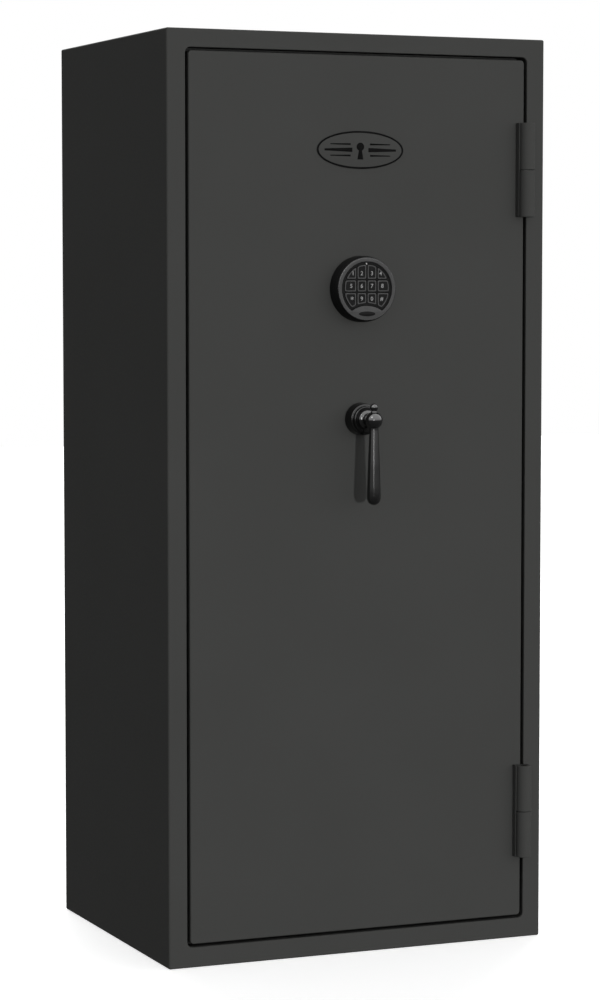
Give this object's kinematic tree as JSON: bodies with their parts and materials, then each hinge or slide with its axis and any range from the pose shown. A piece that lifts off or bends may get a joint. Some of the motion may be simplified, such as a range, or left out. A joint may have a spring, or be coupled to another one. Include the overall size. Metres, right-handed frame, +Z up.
{
  "type": "gun safe",
  "caption": "Upright steel gun safe with an external-hinge door, round keypad lock, lever handle driving side bolts, and a carpeted interior with shelves and barrel rack.",
  "frame": {"origin": "centre of the body's footprint, on the underside", "axes": "+Z up, -Y towards the door, +X towards the hinge side"},
  "size_m": [0.655, 0.5748, 1.473],
  "materials": {
    "powder_coat": "satin",
    "black_metal": "gloss",
    "keypad_plastic": "satin",
    "key_rubber": "matte",
    "bare_steel": "satin",
    "brass": "satin",
    "gypsum_board": "matte",
    "carpet": "matte",
    "carpeted_board": "matte",
    "seal_rubber": "matte"
  },
  "bodies": {
    "safe_body": {"body_shell": "powder_coat", "back_panel": "powder_coat", "door_frame_jamb": "powder_coat", "door_seal": "seal_rubber", "fireboard_left": "gypsum_board", "fireboard_right": "gypsum_board", "fireboard_top": "gypsum_board", "fireboard_floor": "gypsum_board", "fireboard_back": "gypsum_board", "carpet_left": "carpet", "carpet_right": "carpet", "carpet_ceiling": "carpet", "carpet_floor": "carpet", "carpet_back": "carpet", "top_shelf": "carpeted_board", "shelf_divider": "carpeted_board", "half_shelf_upper": "carpeted_board", "half_shelf_lower": "carpeted_board", "barrel_rack": "carpeted_board", "upper_hinge_frame_knuckle": "powder_coat", "lower_hinge_frame_knuckle": "powder_coat", "upper_hinge_pin": "bare_steel", "lower_hinge_pin": "bare_steel"},
    "door": {"door_panel": "powder_coat", "door_fireboard": "gypsum_board", "door_inner_plate": "bare_steel", "boltwork_frame": "bare_steel", "door_back_panel": "carpet", "upper_hinge_door_leaf": "powder_coat", "lower_hinge_door_leaf": "powder_coat", "hinge_dead_bar": "bare_steel", "hard_plate": "bare_steel", "lock_case": "bare_steel", "lock_cable": "seal_rubber", "handle_rosette": "black_metal", "keypad_housing": "keypad_plastic", "keypad_face": "keypad_plastic", "keypad_battery": "keypad_plastic", "door_badge": "black_metal"},
    "handle": {"handle_lever": "black_metal", "handle_spindle": "bare_steel", "drive_pinion": "bare_steel"},
    "bolt_bar": {"bolt_bar": "bare_steel", "locking_bolt_1": "bare_steel", "locking_bolt_2": "bare_steel", "locking_bolt_3": "bare_steel", "locking_bolt_4": "bare_steel"},
    "lock_bolt": {"lock_bolt": "brass"},
    "key_1": {"key_1": "key_rubber"},
    "key_2": {"key_2": "key_rubber"},
    "key_3": {"key_3": "key_rubber"},
    "key_4": {"key_4": "key_rubber"},
    "key_5": {"key_5": "key_rubber"},
    "key_6": {"key_6": "key_rubber"},
    "key_7": {"key_7": "key_rubber"},
    "key_8": {"key_8": "key_rubber"},
    "key_9": {"key_9": "key_rubber"},
    "key_0": {"key_0": "key_rubber"},
    "key_star": {"key_star": "key_rubber"},
    "key_hash": {"key_hash": "key_rubber"}
  },
  "joints": [
    {"name": "door_swing", "type": "hinge", "parent": "safe_body", "child": "door", "pos_m": [0.2908, -0.266, 0.75], "axis": [0, 0, 1], "range_deg": [0, 180]},
    {"name": "handle_turn", "type": "hinge", "parent": "door", "child": "handle", "pos_m": [0, -0.253, 0.863], "axis": [0, -1, 0], "range_deg": [0, 90]},
    {"name": "bolt_bar_slide", "type": "slide", "parent": "door", "child": "bolt_bar", "axis": [-1, 0, 0], "range_m": [0, 0.02514]},
    {"name": "lock_bolt_slide", "type": "slide", "parent": "door", "child": "lock_bolt", "axis": [0, 0, -1], "range_m": [0, 0.01]},
    {"name": "key_1_press", "type": "slide", "parent": "door", "child": "key_1", "axis": [0, 1, 0], "range_m": [0, 0.001], "stiffness_N_per_m": 800},
    {"name": "key_2_press", "type": "slide", "parent": "door", "child": "key_2", "axis": [0, 1, 0], "range_m": [0, 0.001], "stiffness_N_per_m": 800},
    {"name": "key_3_press", "type": "slide", "parent": "door", "child": "key_3", "axis": [0, 1, 0], "range_m": [0, 0.001], "stiffness_N_per_m": 800},
    {"name": "key_4_press", "type": "slide", "parent": "door", "child": "key_4", "axis": [0, 1, 0], "range_m": [0, 0.001], "stiffness_N_per_m": 800},
    {"name": "key_5_press", "type": "slide", "parent": "door", "child": "key_5", "axis": [0, 1, 0], "range_m": [0, 0.001], "stiffness_N_per_m": 800},
    {"name": "key_6_press", "type": "slide", "parent": "door", "child": "key_6", "axis": [0, 1, 0], "range_m": [0, 0.001], "stiffness_N_per_m": 800},
    {"name": "key_7_press", "type": "slide", "parent": "door", "child": "key_7", "axis": [0, 1, 0], "range_m": [0, 0.001], "stiffness_N_per_m": 800},
    {"name": "key_8_press", "type": "slide", "parent": "door", "child": "key_8", "axis": [0, 1, 0], "range_m": [0, 0.001], "stiffness_N_per_m": 800},
    {"name": "key_9_press", "type": "slide", "parent": "door", "child": "key_9", "axis": [0, 1, 0], "range_m": [0, 0.001], "stiffness_N_per_m": 800},
    {"name": "key_0_press", "type": "slide", "parent": "door", "child": "key_0", "axis": [0, 1, 0], "range_m": [0, 0.001], "stiffness_N_per_m": 800},
    {"name": "key_star_press", "type": "slide", "parent": "door", "child": "key_star", "axis": [0, 1, 0], "range_m": [0, 0.001], "stiffness_N_per_m": 800},
    {"name": "key_hash_press", "type": "slide", "parent": "door", "child": "key_hash", "axis": [0, 1, 0], "range_m": [0, 0.001], "stiffness_N_per_m": 800}
  ],
  "couplings": [
    {"joint": "bolt_bar_slide", "follows": "handle_turn", "m_per_rad": 0.016}
  ]
}
